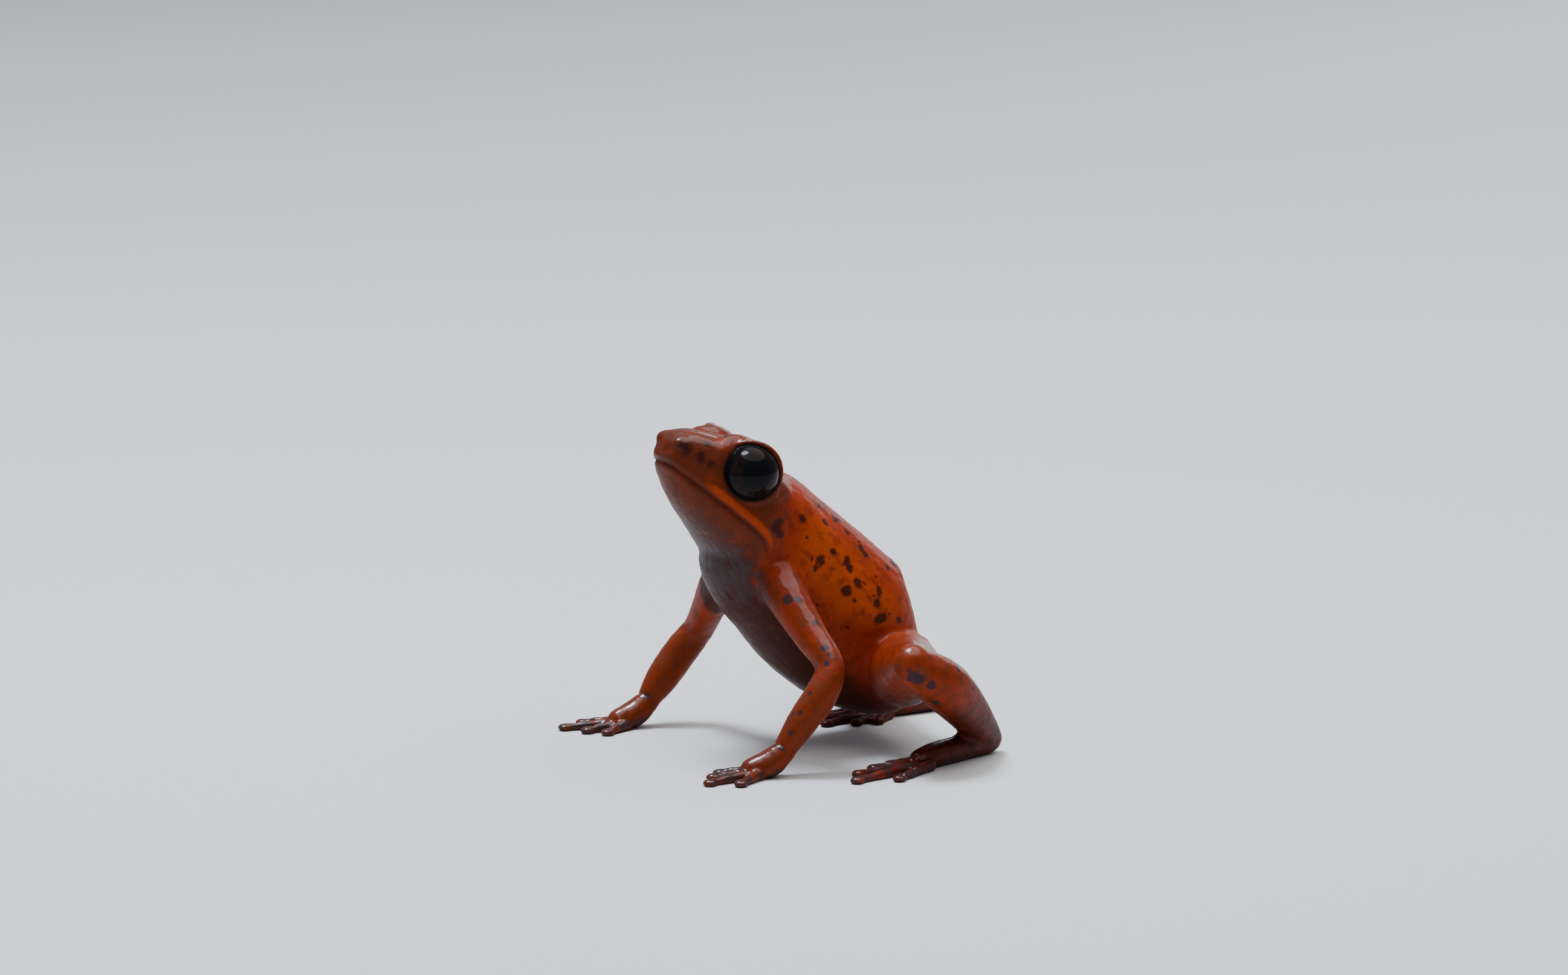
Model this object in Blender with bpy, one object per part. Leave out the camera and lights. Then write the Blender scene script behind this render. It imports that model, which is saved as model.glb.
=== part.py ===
"""Strawberry poison dart frog, life size, sitting upright on its straight forelegs with its head raised.

The frog is modelled whole in millimetres and then parted into its head, torso, eyes and limb segments
by thin cuts. It faces -Y, its left side is +X and the floor is at Z = 0. While it is modelled its
snout is near X = 0, Y = 0. At the end the frog is centred over the origin and turned into metres.
"""

import math

import bmesh
import bpy
import numpy as np
from mathutils import Matrix, Vector

# The whole animal
NAPE = (0.0, 6.36, 13.35)
HEAD_LENGTH = 7.3
HEAD_PITCH = math.radians(26)
HEAD_YAW = math.radians(10)
HEAD_ROLL = math.radians(4)
GAP = 0.3
MILLIMETRE = 0.001

# How finely the flesh is fused and smoothed, and how many triangles it keeps
VOXEL = 0.13
SMOOTH_PAIR = (0.5, -0.52)
BODY_ROUNDS = 4
DIGIT_ROUNDS = 1
FINISHED_TRIANGLES = 6200
SHARP_ANGLE = math.radians(50)
FORM_SIDES = 28
LIMB_SIDES = 14
DIGIT_SIDES = 10
BALL_SEGMENTS = 20
BALL_RINGS = 12
CAP_ANGLES = (0.4, 0.8, 1.2)

# The trunk, from the neck to the vent: dorsal (y, z), ventral (y, z) and half width
TRUNK = (
    (6.0, 15.0, 3.4, 11.4, 2.8),
    (7.7, 14.5, 3.0, 9.6, 3.35),
    (9.3, 13.2, 3.7, 7.9, 3.5),
    (10.8, 11.95, 5.0, 6.3, 3.6),
    (12.4, 10.6, 6.3, 4.7, 3.75),
    (13.75, 9.2, 7.9, 3.3, 3.8),
    (14.4, 7.5, 9.6, 2.2, 3.6),
    (14.8, 5.7, 11.5, 1.5, 3.1),
    (15.1, 4.2, 13.2, 1.3, 2.3),
)
CHEST_POLE = (0.0, 4.6, 13.6)
VENT_POLE = (0.0, 14.6, 2.3)

# The head, from the snout backwards: distance, half width, top, widest level, underside
HEAD = (
    (0.26, 0.88, 1.00, 0.20, -0.34),
    (0.70, 1.24, 1.30, -0.25, -1.02),
    (1.6, 1.85, 1.44, -0.70, -1.82),
    (2.7, 2.50, 1.50, -1.10, -2.50),
    (4.0, 3.00, 1.70, -1.50, -3.10),
    (5.5, 3.40, 1.80, -1.90, -3.90),
    (7.0, 3.45, 1.60, -2.10, -4.80),
    (8.5, 3.30, 1.10, -2.20, -5.50),
)
HEAD_SQUARENESS = 2.3
SNOUT_POLE = (0.0, 0.12, 0.4)
NECK_POLE = (0.0, 9.1, -2.2)

# The eyes and lids, measured from the snout: out to the side, back and up
EYE_RADIUS = 1.55
EYE_GAP = 0.2
EYE_CENTRE = (2.2, 4.31, 0.76)
EYE_AXIS = (0.94, -0.33, 0.08)
LID_ADVANCE = 0.5
LID_RADIUS = 1.66
LID_THICKNESS = 0.28
BROW_CENTRE = (1.5, 3.95, 0.52)
BROW_RADII = (1.55, 1.95, 1.97)
# The swellings round the nostril and along the ridge from there to the brow
MUZZLE_CENTRE = (0.66, 0.7, 0.64)
MUZZLE_RADII = (0.5, 0.7, 0.54)
RIDGE_CENTRE = (1.4, 2.6, 1.05)
RIDGE_RADII = (0.72, 1.7, 0.95)

# The soft fold where the throat meets the chest, on the frog's own axes
THROAT_CENTRE = (0.0, 4.6, 10.3)
THROAT_RADII = (2.5, 1.6, 1.5)

# The mouth line falls away behind the snout and turns down at its corners
MOUTH_FRONT = (0.0, 0.2, -0.42)
MOUTH_SLOPE = 0.27
MOUTH_START = 0.5
MOUTH_CORNER = 6.2
CORNER_TURN = 0.35
LIP_OFFSET = 0.34
NOSTRIL = (1.1, 0.75, 0.66)
EARDRUM_BACK = 6.3
EARDRUM_HEIGHT = -1.1
EARDRUM_RADIUS = 0.6

# The strokes that shape the face: how far each one reaches and how much it lifts the skin
UPPER_LIP = (0.42, 0.08)
LOWER_LIP = (0.36, 0.04)
MOUTH_LINE = (0.3, -0.2)
NOSTRIL_RIM = (0.5, 0.07)
NOSTRIL_HOLE = (0.26, -0.26)
EARDRUM_GROOVE = (0.3, -0.1)

# The limbs, as joints and the swell between them: x, y, z and radius
ARM = {
    "left": ((2.6, 5.9, 9.6, 1.35), (3.9, 5.9, 8.8, 1.12), (5.6, 6.4, 7.1, 0.88),
             (7.1, 6.9, 5.6, 0.78), (7.5, 6.3, 4.3, 0.86), (7.4, 5.2, 2.8, 0.85), (7.3, 4.2, 1.4, 0.62)),
    "right": ((-2.6, 5.7, 9.1, 1.35), (-3.8, 5.5, 8.2, 1.12), (-5.4, 5.5, 6.6, 0.88),
              (-6.8, 5.5, 5.2, 0.84), (-7.4, 4.8, 4.0, 0.92), (-7.6, 3.8, 2.6, 0.9), (-7.6, 2.9, 1.4, 0.64)),
}
ELBOW = 3
PALM = {
    "left": ((7.3, 4.2, 1.35, 0.64), (7.2, 3.4, 0.72, 0.74), (7.1, 2.5, 0.48, 0.62)),
    "right": ((-7.6, 2.9, 1.35, 0.64), (-7.6, 2.1, 0.72, 0.74), (-7.5, 1.2, 0.48, 0.62)),
}
THIGH = {
    "left": ((2.0, 13.2, 4.1, 2.1), (4.8, 12.3, 4.5, 1.9), (7.6, 11.2, 5.2, 1.5), (9.9, 10.3, 5.95, 1.08)),
    "right": ((-2.0, 13.2, 4.1, 2.1), (-4.8, 13.7, 4.5, 1.9), (-7.6, 14.4, 5.2, 1.5),
              (-10.2, 15.0, 5.95, 1.08)),
}
SHANK = {
    "left": ((9.9, 10.4, 5.8, 1.05), (9.45, 12.2, 4.65, 1.36), (7.9, 14.3, 2.9, 1.18),
             (6.1, 16.4, 0.9, 0.8)),
    "right": ((-10.2, 15.1, 5.7, 1.05), (-9.35, 16.3, 4.3, 1.33), (-7.6, 18.0, 2.2, 1.1),
              (-5.6, 20.3, 0.9, 0.8)),
}
TARSUS = {
    "left": ((6.1, 16.4, 0.8, 0.82), (7.1, 14.4, 0.64, 0.7), (8.1, 12.4, 0.6, 0.68),
             (8.5, 11.4, 0.48, 0.6)),
    "right": ((-5.6, 20.3, 0.8, 0.82), (-5.25, 18.3, 0.64, 0.7), (-4.9, 16.3, 0.6, 0.68),
              (-4.65, 15.1, 0.48, 0.6)),
}

# Fingers and toes from the inner one outwards: length and spread from straight ahead
FINGERS = ((1.7, 36), (2.1, 13), (2.9, -8), (2.0, -32))
TOES = ((1.5, 34), (2.5, 20), (3.7, 7), (4.9, -6), (3.1, -21))
HAND_TURN = {"left": 6, "right": 4}
FOOT_TURN = {"left": 14, "right": -10}
DIGIT_SPACING = 0.3
DIGIT_LEVEL = 0.2
# Along each digit: part of its length, radius and lift over the floor
DIGIT_SWELL = (
    (0.0, 0.36, 0.14),
    (0.35, 0.28, 0.1),
    (0.62, 0.29, 0.05),
    (0.82, 0.26, 0.03),
    (1.0, 0.26, 0.0),
)
DISC_RADII = (0.42, 0.46, 0.27)

# The cuts: planes beside the flanks, the neck's top and bottom, and how far each slab reaches
SHOULDER_X = 3.85
HIP_X = 4.0
NECK_CUT = ((0.0, 8.2, 15.2), (0.0, 2.4, 9.3))
NECK_CUT_WIDTH = 9.0
LIMB_CUT_WIDTH = 3.6
HIP_CUT_WIDTH = 5.2
# For a folded joint: length, width and how much of the length is outside the joint
KNEE_CUT = (8.5, 4.6, 1.9)
ANKLE_CUT = (5.4, 2.8, 1.3)
FLOOR_SIZE = 40.0
FLOOR_DEPTH = 4.0
FLOOR_MIDDLE = (0.0, 9.0, -2.0)

# Where the two largest nodes have their middles, on the head's own axes and on the frog's
HEAD_MIDDLE = (0.0, 4.0, -1.0)
TORSO_MIDDLE = (0.0, 10.0, 7.0)

ORANGE_RED = (0.48, 0.055, 0.012)
DARK_RED = (0.26, 0.03, 0.012)
EYE_BLACK = (0.006, 0.006, 0.007)
WET_ROUGHNESS = 0.3
EYE_ROUGHNESS = 0.05


def clear_scene():
    for thing in list(bpy.data.objects):
        bpy.data.objects.remove(thing, do_unlink=True)


def material(name, colour, roughness):
    made = bpy.data.materials.new(name)
    made.use_nodes = True
    shader = made.node_tree.nodes["Principled BSDF"]
    shader.inputs["Base Color"].default_value = (*colour, 1.0)
    shader.inputs["Roughness"].default_value = roughness
    shader.inputs["Metallic"].default_value = 0.0
    return made


def add_object(name, mesh):
    made = bpy.data.objects.new(name, mesh)
    bpy.context.scene.collection.objects.link(made)
    return made


def apply_modifier(thing, kind, **settings):
    """Add one modifier and bake its result into the object's mesh."""
    modifier = thing.modifiers.new(kind.title(), kind)
    for key, value in settings.items():
        setattr(modifier, key, value)
    graph = bpy.context.evaluated_depsgraph_get()
    baked = bpy.data.meshes.new_from_object(thing.evaluated_get(graph), depsgraph=graph)
    thing.modifiers.clear()
    thing.data = baked


def boolean(thing, others, operation):
    """Unite the object with others, or cut them out of it, and remove the others."""
    group = bpy.data.collections.new("operands")
    for other in others:
        group.objects.link(other)
    apply_modifier(thing, "BOOLEAN", operation=operation, solver="EXACT",
                   operand_type="COLLECTION", collection=group)
    for other in others:
        bpy.data.objects.remove(other, do_unlink=True)
    bpy.data.collections.remove(group)


def smooth_run(knots, steps=4):
    """Points of a Catmull-Rom curve through the knots, whatever each knot holds."""
    knots = np.array(knots, dtype=float)
    padded = np.vstack([2 * knots[0] - knots[1], knots, 2 * knots[-1] - knots[-2]])
    run = []
    for before, start, end, after in zip(padded, padded[1:], padded[2:], padded[3:]):
        for t in np.arange(steps) / steps:
            run.append(0.5 * (2 * start + (end - before) * t
                              + (2 * before - 5 * start + 4 * end - after) * t ** 2
                              + (3 * start - before - 3 * end + after) * t ** 3))
    run.append(knots[-1])
    return np.array(run)


def turns(sides):
    return [math.tau * k / sides for k in range(sides)]


def loft(name, rings, first_pole, last_pole):
    """A closed skin over rings of points, with a pole at each end."""
    sides = len(rings[0])
    points = [point for ring in rings for point in ring] + [first_pole, last_pole]
    last_row = (len(rings) - 1) * sides
    faces = []
    for side in range(sides):
        following = (side + 1) % sides
        faces.append((following, side, len(points) - 2))
        faces.append((last_row + side, last_row + following, len(points) - 1))
        for low in range(0, last_row, sides):
            faces.append((low + side, low + following, low + sides + following, low + sides + side))
    mesh = bpy.data.meshes.new(name)
    mesh.from_pydata([tuple(point) for point in points], [], faces)
    shaped = bmesh.new()
    shaped.from_mesh(mesh)
    bmesh.ops.recalc_face_normals(shaped, faces=shaped.faces)
    shaped.to_mesh(mesh)
    shaped.free()
    return add_object(name, mesh)


def limb(name, knots, sides=LIMB_SIDES):
    """A round limb along its knots, closed by round ends."""
    run = smooth_run(knots)
    places = [Vector(row[:3]) for row in run]
    radii = [row[3] for row in run]
    last = len(places) - 1
    ahead = [(places[min(i + 1, last)] - places[max(i - 1, 0)]).normalized() for i in range(last + 1)]
    stations = []
    for angle in reversed(CAP_ANGLES):
        behind = places[0] - ahead[0] * radii[0] * math.sin(angle)
        stations.append((behind, ahead[0], radii[0] * math.cos(angle)))
    stations += zip(places, ahead, radii)
    for angle in CAP_ANGLES:
        beyond = places[-1] + ahead[-1] * radii[-1] * math.sin(angle)
        stations.append((beyond, ahead[-1], radii[-1] * math.cos(angle)))
    rings = []
    for place, forward, radius in stations:
        across = forward.cross(Vector((0, 0, 1))).normalized() * radius
        upward = across.cross(forward)
        rings.append([place + across * math.cos(turn) + upward * math.sin(turn) for turn in turns(sides)])
    return loft(name, rings, places[0] - ahead[0] * radii[0], places[-1] + ahead[-1] * radii[-1])


def ball(name, frame, centre, radii):
    """An ellipsoid with its radii along the frame's axes."""
    bpy.ops.mesh.primitive_uv_sphere_add(segments=BALL_SEGMENTS, ring_count=BALL_RINGS, radius=1)
    made = bpy.context.object
    made.name = name
    made.data.transform(frame @ Matrix.Translation(centre) @ Matrix.Diagonal((*radii, 1)))
    return made


def slab(centre, normal, along, length, width, thickness=GAP):
    """A flat box across its normal, long in the direction given by along."""
    normal = Vector(normal).normalized()
    across = normal.cross(Vector(along)).normalized()
    axes = Matrix((across.cross(normal), across, normal)).transposed().to_4x4()
    bpy.ops.mesh.primitive_cube_add(size=1)
    made = bpy.context.object
    made.data.transform(Matrix.Translation(centre) @ axes @ Matrix.Diagonal((length, width, thickness, 1)))
    return made


def head_frame():
    """The matrix from measures on the head (left, back from the snout, up) to the frog's own frame."""
    forward = Vector((math.sin(HEAD_YAW) * math.cos(HEAD_PITCH),
                      -math.cos(HEAD_YAW) * math.cos(HEAD_PITCH), math.sin(HEAD_PITCH)))
    left = Matrix.Rotation(HEAD_ROLL, 3, -forward) @ Vector((math.cos(HEAD_YAW), math.sin(HEAD_YAW), 0))
    frame = Matrix((left, -forward, left.cross(-forward))).transposed().to_4x4()
    frame.translation = Vector(NAPE) + forward * HEAD_LENGTH
    return frame


def on_side(place, sign):
    """The same place of the head on the frog's left (1) or right (-1)."""
    return Vector((place[0] * sign, place[1], place[2]))


def head_section(row, turn):
    """One point of the head's cross-section, at an angle from its left side upwards."""
    back, half_width, top, level, underside = row
    power = 2 / HEAD_SQUARENESS
    side = math.copysign(abs(math.cos(turn)) ** power, math.cos(turn))
    rise = abs(math.sin(turn)) ** power
    limit = top if math.sin(turn) > 0 else underside
    return Vector((half_width * side, back, level + (limit - level) * rise))


def head_side(back, height):
    """How far out the head's surface lies at a distance from the snout and a height."""
    rows = smooth_run(HEAD)
    half_width, top, level, underside = (np.interp(back, rows[:, 0], rows[:, k]) for k in range(1, 5))
    limit = top if height > level else underside
    sine = min(1.0, abs((height - level) / (limit - level))) ** (HEAD_SQUARENESS / 2)
    return half_width * math.sqrt(1 - sine ** 2) ** (2 / HEAD_SQUARENESS)


def head_form(frame):
    rings = []
    for row in smooth_run(HEAD):
        rings.append([frame @ head_section(row, turn) for turn in turns(FORM_SIDES)])
    return loft("head_form", rings, frame @ Vector(SNOUT_POLE), frame @ Vector(NECK_POLE))


def trunk_form():
    rings = []
    for dorsal_y, dorsal_z, ventral_y, ventral_z, half_width in smooth_run(TRUNK):
        dorsal, ventral = Vector((0, dorsal_y, dorsal_z)), Vector((0, ventral_y, ventral_z))
        middle, rise = (dorsal + ventral) / 2, (dorsal - ventral) / 2
        rings.append([middle + rise * math.sin(turn) + Vector((half_width * math.cos(turn), 0, 0))
                      for turn in turns(FORM_SIDES)])
    return loft("trunk_form", rings, Vector(CHEST_POLE), Vector(VENT_POLE))


def lid_form(frame, sign):
    """The rim of the lids: a thick ring round the front of the eye, square to its axis."""
    axis = on_side(EYE_AXIS, sign).normalized()
    bpy.ops.mesh.primitive_torus_add(major_radius=LID_RADIUS, minor_radius=LID_THICKNESS,
                                     major_segments=FORM_SIDES, minor_segments=DIGIT_SIDES)
    ring = bpy.context.object
    turn = Vector((0, 0, 1)).rotation_difference(axis).to_matrix().to_4x4()
    centre = on_side(EYE_CENTRE, sign) + axis * LID_ADVANCE
    ring.data.transform(frame @ Matrix.Translation(centre) @ turn)
    return ring


def digit(root, heading, length):
    """One finger or toe: slim, flat on the floor towards its end and ending in a small disc."""
    reach = Vector((math.sin(heading), -math.cos(heading), 0))
    knots = []
    for part, radius, lift in DIGIT_SWELL:
        place = Vector(root) + reach * length * part
        knots.append((place.x, place.y, DIGIT_LEVEL + lift, radius))
    place = Matrix.Translation((knots[-1][0], knots[-1][1], DIGIT_LEVEL))
    disc = ball("disc", place @ Matrix.Rotation(heading, 4, "Z"), (0, 0, 0), DISC_RADII)
    return [limb("digit", knots, sides=DIGIT_SIDES), disc]


def digits(side, root, plan, turn):
    """All the fingers or toes of one hand or foot."""
    sign = 1 if side == "left" else -1
    pieces = []
    for number, (length, spread) in enumerate(plan):
        offset = (number - (len(plan) - 1) / 2) * DIGIT_SPACING * sign
        start = (root[0] + offset, root[1] + 0.5 * abs(offset), 0)
        pieces += digit(start, math.radians(turn - spread) * sign, length)
    return pieces


def fuse(thing, pieces, rounds):
    """Unite the pieces, and let their joins flow into one skin without shrinking it."""
    boolean(thing, pieces, "UNION")
    apply_modifier(thing, "REMESH", mode="VOXEL", voxel_size=VOXEL, use_smooth_shade=True)
    for factor in SMOOTH_PAIR * rounds:
        apply_modifier(thing, "SMOOTH", factor=factor, iterations=1)


def flesh(frame):
    """The whole frog but its eyes, in one closed skin."""
    body = trunk_form()
    pieces = [head_form(frame), ball("throat", Matrix.Identity(4), THROAT_CENTRE, THROAT_RADII)]
    for sign in (1, -1):
        pieces += [ball("brow", frame, on_side(BROW_CENTRE, sign), BROW_RADII), lid_form(frame, sign)]
        pieces.append(ball("ridge", frame, on_side(RIDGE_CENTRE, sign), RIDGE_RADII))
        pieces.append(ball("muzzle", frame, on_side(MUZZLE_CENTRE, sign), MUZZLE_RADII))
    for side in ("left", "right"):
        pieces += [limb("limb", part[side]) for part in (ARM, THIGH, SHANK, TARSUS)]
    fuse(body, pieces, BODY_ROUNDS)
    pieces = []
    for side in ("left", "right"):
        pieces.append(limb("palm", PALM[side]))
        pieces += digits(side, PALM[side][-1], FINGERS, HAND_TURN[side])
        pieces += digits(side, TARSUS[side][-1], TOES, FOOT_TURN[side])
    fuse(body, pieces, DIGIT_ROUNDS)
    return body


def stroke(body, path, shape):
    """Raise or press the skin along a path, fading out at the stroke's reach."""
    reach, lift = shape
    mesh = body.data
    points = np.empty(len(mesh.vertices) * 3)
    mesh.vertices.foreach_get("co", points)
    points = points.reshape(-1, 3)
    normals = np.array([normal.vector for normal in mesh.vertex_normals])
    nearest = np.full(len(points), np.inf)
    for start, end in zip(path, path[1:] or path):
        start, run = np.array(start), np.array(end) - np.array(start)
        part = np.clip((points - start) @ run / max(run @ run, 1e-9), 0, 1)
        nearest = np.minimum(nearest, np.linalg.norm(points - start - np.outer(part, run), axis=1))
    fade = np.clip(1 - (nearest / reach) ** 2, 0, 1) ** 2
    mesh.vertices.foreach_set("co", (points + normals * (lift * fade)[:, None]).ravel())
    mesh.update()


def mouth_path(frame, shift=0.0):
    """The line of the mouth from its left corner round the snout to its right corner."""
    side = []
    for back in np.linspace(MOUTH_START, MOUTH_CORNER, 24):
        droop = CORNER_TURN * max(0.0, back - MOUTH_CORNER + 1) ** 2
        height = MOUTH_FRONT[2] + shift - MOUTH_SLOPE * back - droop
        side.append((head_side(back, height), back, height))
    front = Vector(MOUTH_FRONT) + Vector((0, 0, shift))
    left, right = ([on_side(place, sign) for place in side] for sign in (1, -1))
    return [frame @ place for place in (*reversed(left), front, *right)]


def face(body, frame):
    """The line of the mouth between its lips, the nostrils and the eardrums."""
    stroke(body, mouth_path(frame, LIP_OFFSET), UPPER_LIP)
    stroke(body, mouth_path(frame, -LIP_OFFSET), LOWER_LIP)
    stroke(body, mouth_path(frame), MOUTH_LINE)
    for sign in (1, -1):
        stroke(body, [frame @ on_side(NOSTRIL, sign)], NOSTRIL_RIM)
        stroke(body, [frame @ on_side(NOSTRIL, sign)], NOSTRIL_HOLE)
        rim = []
        for turn in turns(16) + [0.0]:
            back = EARDRUM_BACK + EARDRUM_RADIUS * math.cos(turn)
            height = EARDRUM_HEIGHT + EARDRUM_RADIUS * math.sin(turn)
            rim.append(frame @ on_side((head_side(back, height), back, height), sign))
        stroke(body, rim, EARDRUM_GROOVE)


def fold_cut(joint, first_end, second_end, reach):
    """A slab that halves the angle between two folded limb segments."""
    length, width, overhang = reach
    joint = Vector(joint[:3])
    first = (Vector(first_end[:3]) - joint).normalized()
    second = (Vector(second_end[:3]) - joint).normalized()
    inward = (first + second).normalized()
    return slab(joint + inward * (length / 2 - overhang), first - second, inward, length, width)


def cross_cut(joint, before, after):
    """A slab square across a limb at its joint."""
    run = Vector(after[:3]) - Vector(before[:3])
    return slab(joint[:3], run, (1, 0, 0), LIMB_CUT_WIDTH, LIMB_CUT_WIDTH)


def cuts(frame):
    """Every thin slab between neighbours, the eye sockets and the floor."""
    top, bottom = (Vector(end) for end in NECK_CUT)
    fall = top - bottom
    cutters = [slab((top + bottom) / 2, fall.cross(Vector((1, 0, 0))), fall, fall.length, NECK_CUT_WIDTH)]
    for side, sign in (("left", 1), ("right", -1)):
        arm, palm, thigh, shank, tarsus = (part[side] for part in (ARM, PALM, THIGH, SHANK, TARSUS))
        shoulder, hip = Vector(arm[1][:3]), Vector(thigh[1][:3])
        shoulder.x, hip.x = SHOULDER_X * sign, HIP_X * sign
        cutters.append(slab(shoulder, (1, 0, 0), (0, 1, 0), LIMB_CUT_WIDTH, LIMB_CUT_WIDTH))
        cutters.append(slab(hip, (1, 0, 0), (0, 1, 0), HIP_CUT_WIDTH, HIP_CUT_WIDTH))
        cutters.append(cross_cut(arm[ELBOW], arm[ELBOW - 1], arm[ELBOW + 1]))
        cutters.append(cross_cut(palm[0], arm[-2], palm[1]))
        cutters.append(fold_cut(thigh[-1], thigh[0], shank[-1], KNEE_CUT))
        cutters.append(fold_cut(tarsus[0], shank[0], tarsus[-1], ANKLE_CUT))
        cutters.append(ball("socket", frame, on_side(EYE_CENTRE, sign), (EYE_RADIUS + EYE_GAP,) * 3))
    cutters.append(slab(FLOOR_MIDDLE, (0, 0, 1), (1, 0, 0), FLOOR_SIZE, FLOOR_SIZE, FLOOR_DEPTH))
    return cutters


def islands(body):
    """The separate closed surfaces of a mesh, largest first, as lists of faces."""
    shaped = bmesh.new()
    shaped.from_mesh(body.data)
    unseen = set(shaped.faces)
    found = []
    while unseen:
        queue = [unseen.pop()]
        island = []
        while queue:
            current = queue.pop()
            island.append(current.index)
            for edge in current.edges:
                for other in edge.link_faces:
                    if other in unseen:
                        unseen.remove(other)
                        queue.append(other)
        found.append(island)
    shaped.free()
    return sorted(found, key=len, reverse=True)


def node_middles(frame):
    """About where the middle of each node of flesh is."""
    middles = {"head": frame @ Vector(HEAD_MIDDLE), "torso": Vector(TORSO_MIDDLE)}
    for side in ("left", "right"):
        places = {"upper_arm": ARM[side][2], "forearm": ARM[side][5], "hand": PALM[side][2],
                  "thigh": THIGH[side][1], "shank": SHANK[side][2], "foot": TARSUS[side][2]}
        for name, place in places.items():
            middles[name + "_" + side] = Vector(place[:3])
    return middles


def part_flesh(body, frame):
    """Turn each surface that the cuts leave into the node whose middle is nearest."""
    middles = node_middles(frame)
    nodes = {}
    for island in islands(body):
        corners = {v for index in island for v in body.data.polygons[index].vertices}
        order = {v: k for k, v in enumerate(sorted(corners))}
        points = [body.data.vertices[v].co for v in order]
        middle = sum(points, Vector()) / len(points)
        name = min(middles, key=lambda key: (middles[key] - middle).length)
        if name in nodes:
            continue
        mesh = bpy.data.meshes.new(name)
        faces = [[order[v] for v in body.data.polygons[index].vertices] for index in island]
        mesh.from_pydata(points, [], faces)
        nodes[name] = add_object(name, mesh)
    bpy.data.objects.remove(body, do_unlink=True)
    return list(nodes.values())


def main():
    clear_scene()
    frame = head_frame()
    body = flesh(frame)
    face(body, frame)
    # Two triangles to each face that the fusing leaves
    kept_part = FINISHED_TRIANGLES / (2 * len(body.data.polygons))
    apply_modifier(body, "DECIMATE", ratio=kept_part)
    boolean(body, cuts(frame), "DIFFERENCE")
    nodes = part_flesh(body, frame)
    for node in nodes:
        colour = ORANGE_RED if node.name.startswith(("head", "torso", "upper_arm")) else DARK_RED
        node.data.materials.append(material("skin_of_" + node.name, colour, WET_ROUGHNESS))
    for side, sign in (("left", 1), ("right", -1)):
        eye = ball("eye_" + side, frame, on_side(EYE_CENTRE, sign), (EYE_RADIUS,) * 3)
        eye.data.materials.append(material("black_of_eye_" + side, EYE_BLACK, EYE_ROUGHNESS))
        nodes.append(eye)
    corners = np.array([vertex.co for node in nodes for vertex in node.data.vertices])
    middle = (corners.min(axis=0) + corners.max(axis=0)) / 2
    for node in nodes:
        node.data.transform(Matrix.Scale(MILLIMETRE, 4) @ Matrix.Translation((-middle[0], -middle[1], 0)))
        node.data.shade_smooth()
        node.data.set_sharp_from_angle(angle=SHARP_ANGLE)


main()
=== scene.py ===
"""A strawberry poison dart frog, life size, sitting upright on its straight forelegs with its head raised.

While a piece is shaped, lengths are in millimetres, the floor is at height 0, the frog faces -Y and its
left side is towards +X. Each finished piece is then set in its place over the solids, in metres.
"""

import math

import bmesh
import bpy
import numpy as np
from mathutils import Matrix, Vector


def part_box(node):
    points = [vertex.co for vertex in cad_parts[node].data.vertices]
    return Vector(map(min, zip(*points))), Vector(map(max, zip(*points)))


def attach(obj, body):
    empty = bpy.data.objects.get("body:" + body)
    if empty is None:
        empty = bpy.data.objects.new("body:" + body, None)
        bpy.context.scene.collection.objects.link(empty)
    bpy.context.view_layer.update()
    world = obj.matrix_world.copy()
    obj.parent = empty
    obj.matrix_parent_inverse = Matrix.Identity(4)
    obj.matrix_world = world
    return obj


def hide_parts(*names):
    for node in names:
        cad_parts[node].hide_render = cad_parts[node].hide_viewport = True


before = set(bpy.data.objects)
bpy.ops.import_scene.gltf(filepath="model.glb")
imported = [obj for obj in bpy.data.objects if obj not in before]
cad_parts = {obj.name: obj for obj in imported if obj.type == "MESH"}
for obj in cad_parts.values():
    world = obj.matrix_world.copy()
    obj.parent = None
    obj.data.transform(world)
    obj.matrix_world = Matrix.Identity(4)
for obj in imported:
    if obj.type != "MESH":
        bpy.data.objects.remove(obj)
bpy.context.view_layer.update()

# The trunk: one soft barrel of skin from the neck to the vent, highest over the hips. It is drawn as
# rings square to the spine, which are bridged into one closed form. Its rows hold the back (y, z), the
# belly (y, z) and half the width.
TRUNK = (
    (6.0, 15.0, 3.4, 11.4, 2.8),
    (7.7, 14.5, 3.0, 9.6, 3.35),
    (9.3, 13.2, 3.7, 7.9, 3.5),
    (10.8, 11.95, 5.0, 6.3, 3.6),
    (12.4, 10.6, 6.3, 4.7, 3.75),
    (13.75, 9.2, 7.9, 3.3, 3.8),
    (14.4, 7.5, 9.6, 2.2, 3.6),
    (14.8, 5.7, 11.5, 1.5, 3.1),
    (15.1, 4.2, 13.2, 1.3, 2.3),
    (14.75, 3.1, 14.3, 1.9, 0.8),
)


def smooth_run(knots, steps):
    """Points of a smooth curve through the knots, whatever each knot holds."""
    knots = np.array(knots, dtype=float)
    padded = np.vstack([2 * knots[0] - knots[1], knots, 2 * knots[-1] - knots[-2]])
    run = []
    for before, start, end, after in zip(padded, padded[1:], padded[2:], padded[3:]):
        for t in np.arange(steps) / steps:
            run.append(0.5 * (2 * start + (end - before) * t
                              + (2 * before - 5 * start + 4 * end - after) * t ** 2
                              + (3 * start - before - 3 * end + after) * t ** 3))
    run.append(knots[-1])
    return np.array(run)


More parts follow.
